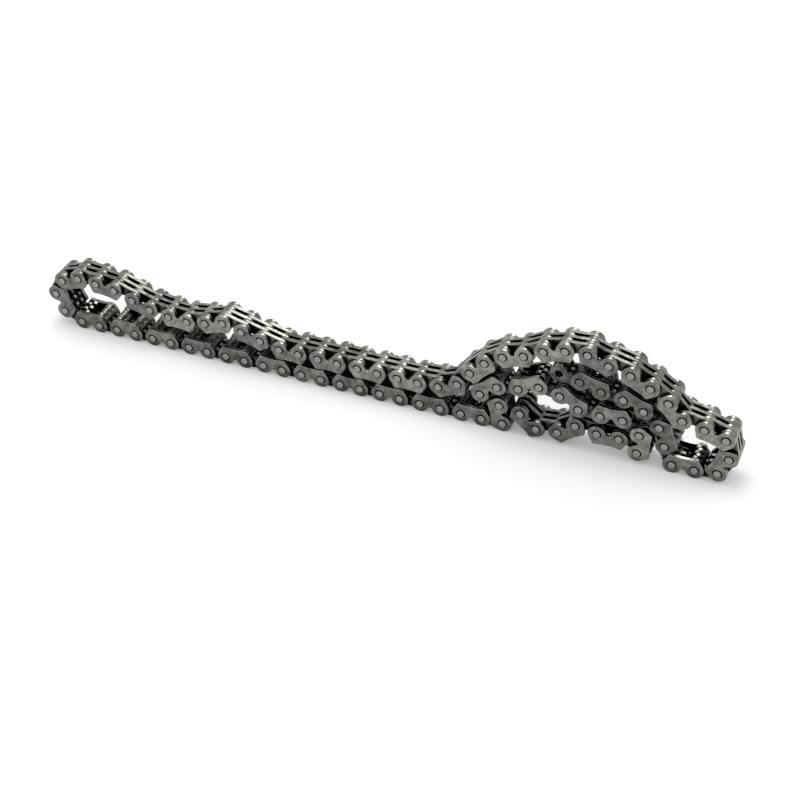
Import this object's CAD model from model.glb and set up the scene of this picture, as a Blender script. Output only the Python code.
import math

import bpy
from mathutils import Matrix, Vector

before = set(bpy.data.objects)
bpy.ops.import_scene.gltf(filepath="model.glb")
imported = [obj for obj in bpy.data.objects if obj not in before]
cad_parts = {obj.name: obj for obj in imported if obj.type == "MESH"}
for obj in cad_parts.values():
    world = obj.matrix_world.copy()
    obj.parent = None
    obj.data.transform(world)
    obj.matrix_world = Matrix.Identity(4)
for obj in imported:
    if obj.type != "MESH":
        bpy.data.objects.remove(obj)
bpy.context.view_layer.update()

MM = 0.001
WHITE = (1, 1, 1)

# Sizes of the chain, from the CAD. Seven layers of plates lie across the width
PLATE_T = 1.15 * MM
LAYER_STEP = 1.21 * MM
WIDTH = 6 * LAYER_STEP + PLATE_T
SINK_DEPTH = 0.4 * MM
# Distance from the middle of the chain to the outer faces of the guide plates
FACE = WIDTH / 2
# Depth that keeps a test for pins or inner plates clear of the faces themselves
PIN_MARGIN = 0.02 * MM

# Points closer than this are one, and facets that turn less than this are one flat face
WELD_REACH = 0.002 * MM
FLAT_ANGLE = math.radians(1)
# Stamped plates have rounded rims; pin bevels, sunk rings and tooth corners are crisper.
# Each rounding has a width, the least turn of the edges that it takes, and its steps
ROUNDINGS = {
    "rims": (0.15 * MM, math.radians(65), 3),
    "corners": (0.07 * MM, math.radians(36), 2),
}

# Each steel has a dark and a light tone, and the least and the most roughness
PLATE_STEEL = {"tones": ((0.1, 0.1, 0.094), (0.32, 0.32, 0.299)), "roughness": (0.2, 0.36)}
PIN_STEEL = {"tones": ((0.27, 0.27, 0.255), (0.33, 0.33, 0.31)), "roughness": (0.22, 0.3)}
# Pins in nodes that hold plates too have one colour, and are this much smoother than the plates
PIN_COLOUR = (0.27, 0.27, 0.254)
PIN_SMOOTHER = 0.08

# Blotches and grain. Their scales are turns in a metre, and ends are where a tone is full
BLOTCH = {"scale": 420, "detail": 4, "rough": 0.6, "distort": 0.4}
BLOTCH_ENDS = (0.32, 0.68)
BLOTCH_ROUGH_ENDS = (0.3, 0.7)
GRAIN = {"scale": 3800, "detail": 3, "rough": 0.65}
GRAIN_ENDS = (0.3, 0.7)
GRAIN_SHADES = ((0.8, 0.8, 0.8), (1.12, 1.12, 1.1))
GRAIN_BUMP = 0.3
GRAIN_DEPTH = 0.02 * MM
# Each link has a shade of its own between these
LINK_SHADES = ((0.72, 0.72, 0.72), (1.15, 1.15, 1.13))

# Oil and dirt gather where walls are nearer than this
GRIME_REACH = 7.0 * MM
GRIME_SAMPLES = 8
# Share of open air at which metal is black, and at which it is clean
OPEN_ENDS = (0.3, 0.85)
BLACK = 0.01
# Between the inner plates the air counts as this much less open
INSIDE_LESS_OPEN = 0.2
# How clean the outer faces are kept, at the bottom of a sunk ring and on the face itself
FACE_CLEAN = (0.12, 0.8)

# Convex edges are rubbed bright: seen from inside the metal, its surface is nearer than this
WEAR_REACH = 0.2 * MM
WEAR_SAMPLES = 4
RUBBED_COLOUR = (0.5, 0.5, 0.475)
# Share of metal in reach at which wear starts, and at which it is full
WEAR_ENDS = (0.97, 0.6)
# Wear is patchy, as the blotches are
WEAR_BLOTCH_ENDS = (0.35, 0.6)
WEAR_PATCHES = (0.4, 0.95)
# Narrow gaps have little wear
WEAR_OPEN_ENDS = (0.1, 0.5)
WEAR_IN_GAP = 0.15

# Links under the arch, under the pile and on the floor keep more oil, so they are darker
OILY = {f"link_{n}": 0.82 for n in range(26, 36)}
OILY.update(end=0.6, link_02=0.6, link_03=0.72, link_43=0.72, link_44=0.65, link_36_guide=0.8)

# The floor is white paper a little lower than the chain, so that the two share no plane
FLOOR_HALF = 4.0
FLOOR_DROP = 0.02 * MM
PAPER = {"scale": 40, "detail": 2}
PAPER_ENDS = (0.3, 0.7)
PAPER_TONES = ((0.93, 0.93, 0.93), (0.95, 0.95, 0.95))
PAPER_ROUGHNESS = 0.9
PAPER_SPECULAR = 0.1
# Light that the floor adds where it is seen, so that faint shadows wash out
FLOOR_GLOW = 0.2

# Strength of the world where it is seen, and as the light that fills the shadows
WORLD_SEEN = 1.0
WORLD_FILL = 0.72
# A panel behind the chain, which the backs of the links mirror, and a soft light overhead
PANEL = {"place": (0.034, 0.536, 0.525), "size": 0.24, "power": 2.0, "colour": (1.0, 0.99, 0.94)}
OVERHEAD = {"place": (-0.12, 0.1, 0.8), "size": 0.36, "power": 1.8}
# Both look at the middle of the chain
LIT = (0.0, 0.0, 0.01)

# Camera at the photo's angle: turn about the upright, tilt down and roll
AZ, EL, ROLL = math.radians(-23.458), math.radians(38.822), math.radians(-1.462)
PHOTO_PX = 800
FOCAL_PX = 1524.29
SENSOR = 36
NEAREST = 0.01
FARTHEST = 20
DIST = 445.513 * MM
# Point that the photo's centre looks at, on the front faces of the guide plates
TARGET = Vector((9.885 * MM, -FACE, 2.3 * MM))


# Helpers for shader nodes
def new_material(name):
    material = bpy.data.materials.new(name)
    material.use_nodes = True
    nt = material.node_tree
    return material, nt, nt.nodes["Principled BSDF"]


def set_input(nt, socket, value):
    """Links a socket to another, or sets it to a number or a colour."""
    if isinstance(value, bpy.types.NodeSocket):
        nt.links.new(value, socket)
    elif isinstance(value, tuple):
        socket.default_value = (*value, 1)
    else:
        socket.default_value = value


def object_coords(nt):
    return nt.nodes.new("ShaderNodeTexCoord").outputs["Object"]


def ramp(nt, fac, ends, tones):
    """The first tone up to the first end, the second from the second, and a blend between."""
    n = nt.nodes.new("ShaderNodeValToRGB")
    for stop, end, tone in zip(n.color_ramp.elements, ends, tones):
        stop.position = end
        stop.color = (*tone, 1)
    nt.links.new(fac, n.inputs["Fac"])
    return n.outputs["Color"]


def noise(nt, coords, scale, detail, rough=0.55, distort=0.0):
    n = nt.nodes.new("ShaderNodeTexNoise")
    n.inputs["Scale"].default_value = scale
    n.inputs["Detail"].default_value = detail
    n.inputs["Roughness"].default_value = rough
    n.inputs["Distortion"].default_value = distort
    nt.links.new(coords, n.inputs["Vector"])
    return n.outputs["Fac"]


def map_range(nt, value, ends, results):
    """Turns the first end into the first result, and the second into the second."""
    n = nt.nodes.new("ShaderNodeMapRange")
    nt.links.new(value, n.inputs["Value"])
    n.inputs["From Min"].default_value, n.inputs["From Max"].default_value = ends
    n.inputs["To Min"].default_value, n.inputs["To Max"].default_value = results
    return n.outputs["Result"]


def mix_rgb(nt, fac, a, b, mode="MIX"):
    n = nt.nodes.new("ShaderNodeMixRGB")
    n.blend_type = mode
    for socket, value in zip(n.inputs, (fac, a, b)):
        set_input(nt, socket, value)
    return n.outputs["Color"]


def shade(nt, colour, by):
    """Multiplies one colour by another."""
    return mix_rgb(nt, 1.0, colour, by, "MULTIPLY")


def math_node(nt, operation, *values):
    n = nt.nodes.new("ShaderNodeMath")
    n.operation = operation
    for socket, value in zip(n.inputs, values):
        set_input(nt, socket, value)
    return n.outputs["Value"]


def product(nt, a, b):
    return math_node(nt, "MULTIPLY", a, b)


def free_share(nt, reach, samples, inside=False):
    """Share of directions in which nothing is within reach: out of the metal, or into it."""
    n = nt.nodes.new("ShaderNodeAmbientOcclusion")
    n.samples = samples
    n.inside = inside
    n.only_local = inside
    n.inputs["Distance"].default_value = reach
    return n.outputs["AO"]


def seen_directly(nt):
    """1 where the camera, a reflection or a see-through ray looks, and 0 for the light that falls."""
    rays = nt.nodes.new("ShaderNodeLightPath")
    either = math_node(nt, "MAXIMUM", rays.outputs["Is Camera Ray"], rays.outputs["Is Glossy Ray"])
    return math_node(nt, "MAXIMUM", either, rays.outputs["Is Transmission Ray"])


# Steel
def from_middle(nt, coords):
    """Distance of a point from the middle of the chain's width."""
    xyz = nt.nodes.new("ShaderNodeSeparateXYZ")
    nt.links.new(coords, xyz.inputs["Vector"])
    return math_node(nt, "ABSOLUTE", xyz.outputs["Y"])


def clean_share(nt, air, side):
    """1 on clean metal, and near 0 under oil and dirt, most of which is between the inner plates."""
    inside = math_node(nt, "LESS_THAN", side, FACE - PLATE_T - PIN_MARGIN)
    openness = math_node(nt, "SUBTRACT", air, product(nt, inside, INSIDE_LESS_OPEN))
    clean = map_range(nt, openness, OPEN_ENDS, (BLACK, 1.0))
    # The outer faces are wiped clean, sunk rings less so
    wiped = map_range(nt, side, (FACE - SINK_DEPTH, FACE), FACE_CLEAN)
    return math_node(nt, "MAXIMUM", clean, product(nt, wiped, air))


def rubbed_share(nt, air, blotch):
    """1 where a convex edge is rubbed bright, and 0 where there is no wear."""
    metal = free_share(nt, WEAR_REACH, WEAR_SAMPLES, inside=True)
    rub = map_range(nt, metal, WEAR_ENDS, (0.0, 1.0))
    rub = product(nt, rub, map_range(nt, blotch, WEAR_BLOTCH_ENDS, WEAR_PATCHES))
    return product(nt, rub, map_range(nt, air, WEAR_OPEN_ENDS, (WEAR_IN_GAP, 1.0)))


def steel(name, tones, roughness, bright_pins=False):
    """Oiled, tumbled steel. With bright_pins, pins that stand out of guide plates are lighter."""
    material, nt, bsdf = new_material(name)
    coords = object_coords(nt)
    side = from_middle(nt, coords)
    air = free_share(nt, GRIME_REACH, GRIME_SAMPLES)
    blotch = noise(nt, coords, **BLOTCH)
    grain = noise(nt, coords, **GRAIN)
    link = nt.nodes.new("ShaderNodeObjectInfo")

    colour = ramp(nt, blotch, BLOTCH_ENDS, tones)
    colour = shade(nt, colour, ramp(nt, grain, GRAIN_ENDS, GRAIN_SHADES))
    colour = shade(nt, colour, ramp(nt, link.outputs["Random"], (0.0, 1.0), LINK_SHADES))
    colour = shade(nt, colour, link.outputs["Color"])
    colour = shade(nt, colour, clean_share(nt, air, side))
    colour = mix_rgb(nt, rubbed_share(nt, air, blotch), colour, RUBBED_COLOUR)
    rough = map_range(nt, blotch, BLOTCH_ROUGH_ENDS, roughness)
    if bright_pins:
        pin = math_node(nt, "GREATER_THAN", side, FACE + PIN_MARGIN)
        colour = mix_rgb(nt, pin, colour, PIN_COLOUR)
        rough = math_node(nt, "SUBTRACT", rough, product(nt, pin, PIN_SMOOTHER))

    bump = nt.nodes.new("ShaderNodeBump")
    bump.inputs["Strength"].default_value = GRAIN_BUMP
    bump.inputs["Distance"].default_value = GRAIN_DEPTH
    nt.links.new(grain, bump.inputs["Height"])
    nt.links.new(colour, bsdf.inputs["Base Color"])
    nt.links.new(rough, bsdf.inputs["Roughness"])
    nt.links.new(bump.outputs["Normal"], bsdf.inputs["Normal"])
    bsdf.inputs["Metallic"].default_value = 1.0
    return material


# The chain
def dress(name, obj, material):
    """Gives a node its steel, its share of oil and its rounded edges."""
    oil = OILY.get(name, OILY["end"] if name.startswith("end") else 1.0)
    obj.color = (oil, oil, oil, 1)
    obj.data.materials.clear()
    obj.data.materials.append(material)
    weld = obj.modifiers.new("weld", "WELD")
    weld.merge_threshold = WELD_REACH
    flats = obj.modifiers.new("flats", "DECIMATE")
    flats.decimate_type = "DISSOLVE"
    flats.angle_limit = FLAT_ANGLE
    for label, (width, least_turn, steps) in ROUNDINGS.items():
        bevel = obj.modifiers.new(label, "BEVEL")
        bevel.width = width
        bevel.segments = steps
        bevel.limit_method = "ANGLE"
        bevel.angle_limit = least_turn
        bevel.use_clamp_overlap = False
        bevel.loop_slide = False


# Studio
def make_floor():
    """White paper that glows a little where it is seen."""
    mesh = bpy.data.meshes.new("floor")
    signs = ((-1, -1), (1, -1), (1, 1), (-1, 1))
    corners = [(x * FLOOR_HALF, y * FLOOR_HALF, 0) for x, y in signs]
    mesh.from_pydata(corners, [], [(0, 1, 2, 3)])
    floor = bpy.data.objects.new("floor", mesh)
    floor.location.z = -FLOOR_DROP
    bpy.context.scene.collection.objects.link(floor)

    material, nt, bsdf = new_material("floor_white")
    paper = ramp(nt, noise(nt, object_coords(nt), **PAPER), PAPER_ENDS, PAPER_TONES)
    nt.links.new(paper, bsdf.inputs["Base Color"])
    bsdf.inputs["Roughness"].default_value = PAPER_ROUGHNESS
    bsdf.inputs["Specular IOR Level"].default_value = PAPER_SPECULAR
    glow = nt.nodes.new("ShaderNodeEmission")
    glow.inputs["Color"].default_value = (*WHITE, 1)
    nt.links.new(product(nt, seen_directly(nt), FLOOR_GLOW), glow.inputs["Strength"])
    both = nt.nodes.new("ShaderNodeAddShader")
    nt.links.new(bsdf.outputs["BSDF"], both.inputs[0])
    nt.links.new(glow.outputs["Emission"], both.inputs[1])
    nt.links.new(both.outputs["Shader"], nt.nodes["Material Output"].inputs["Surface"])
    mesh.materials.append(material)


def background(nt, strength):
    n = nt.nodes.new("ShaderNodeBackground")
    n.inputs["Color"].default_value = (*WHITE, 1)
    n.inputs["Strength"].default_value = strength
    return n.outputs["Background"]


def make_world():
    """White all round, at one strength where it is seen and another as light."""
    world = bpy.data.worlds.new("studio")
    bpy.context.scene.world = world
    world.use_nodes = True
    nt = world.node_tree
    nt.nodes.clear()
    mix = nt.nodes.new("ShaderNodeMixShader")
    out = nt.nodes.new("ShaderNodeOutputWorld")
    nt.links.new(seen_directly(nt), mix.inputs["Fac"])
    nt.links.new(background(nt, WORLD_FILL), mix.inputs[1])
    nt.links.new(background(nt, WORLD_SEEN), mix.inputs[2])
    nt.links.new(mix.outputs["Shader"], out.inputs["Surface"])


def area(name, place, size, power, colour=WHITE):
    """A square lamp that looks at the chain."""
    light = bpy.data.lights.new(name, "AREA")
    light.shape = "SQUARE"
    light.size = size
    light.energy = power
    light.color = colour
    obj = bpy.data.objects.new(name, light)
    obj.location = place
    aim = Vector(LIT) - Vector(place)
    obj.rotation_euler = aim.to_track_quat("-Z", "Y").to_euler()
    bpy.context.scene.collection.objects.link(obj)
    return obj


def make_camera():
    """Stands DIST away from TARGET and looks at it, turned, tilted and rolled as the photo is."""
    forward = Vector((math.sin(AZ) * math.cos(EL), math.cos(AZ) * math.cos(EL), -math.sin(EL)))
    right = Vector((math.cos(AZ), -math.sin(AZ), 0))
    up = right.cross(forward)
    cam_x = math.cos(ROLL) * right + math.sin(ROLL) * up
    cam_y = -math.sin(ROLL) * right + math.cos(ROLL) * up
    turn = Matrix((cam_x, cam_y, -forward)).transposed().to_4x4()
    lens = bpy.data.cameras.new("camera")
    lens.sensor_width = SENSOR
    lens.sensor_height = SENSOR
    lens.lens = FOCAL_PX / PHOTO_PX * SENSOR
    lens.clip_start = NEAREST
    lens.clip_end = FARTHEST
    lens.dof.use_dof = False
    camera = bpy.data.objects.new("camera", lens)
    camera.matrix_world = Matrix.Translation(TARGET - DIST * forward) @ turn
    bpy.context.scene.collection.objects.link(camera)
    bpy.context.scene.camera = camera


plate_steel = steel("plate_steel", **PLATE_STEEL, bright_pins=True)
pin_steel = steel("pin_steel", **PIN_STEEL)
for name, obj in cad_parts.items():
    dress(name, obj, pin_steel if "pin" in name else plate_steel)

make_floor()
make_world()
panel = area("back_panel", **PANEL)
# Only reflections see the panel
panel.visible_diffuse = False
area("overhead", **OVERHEAD)
make_camera()
bpy.context.scene.view_settings.view_transform = "Standard"
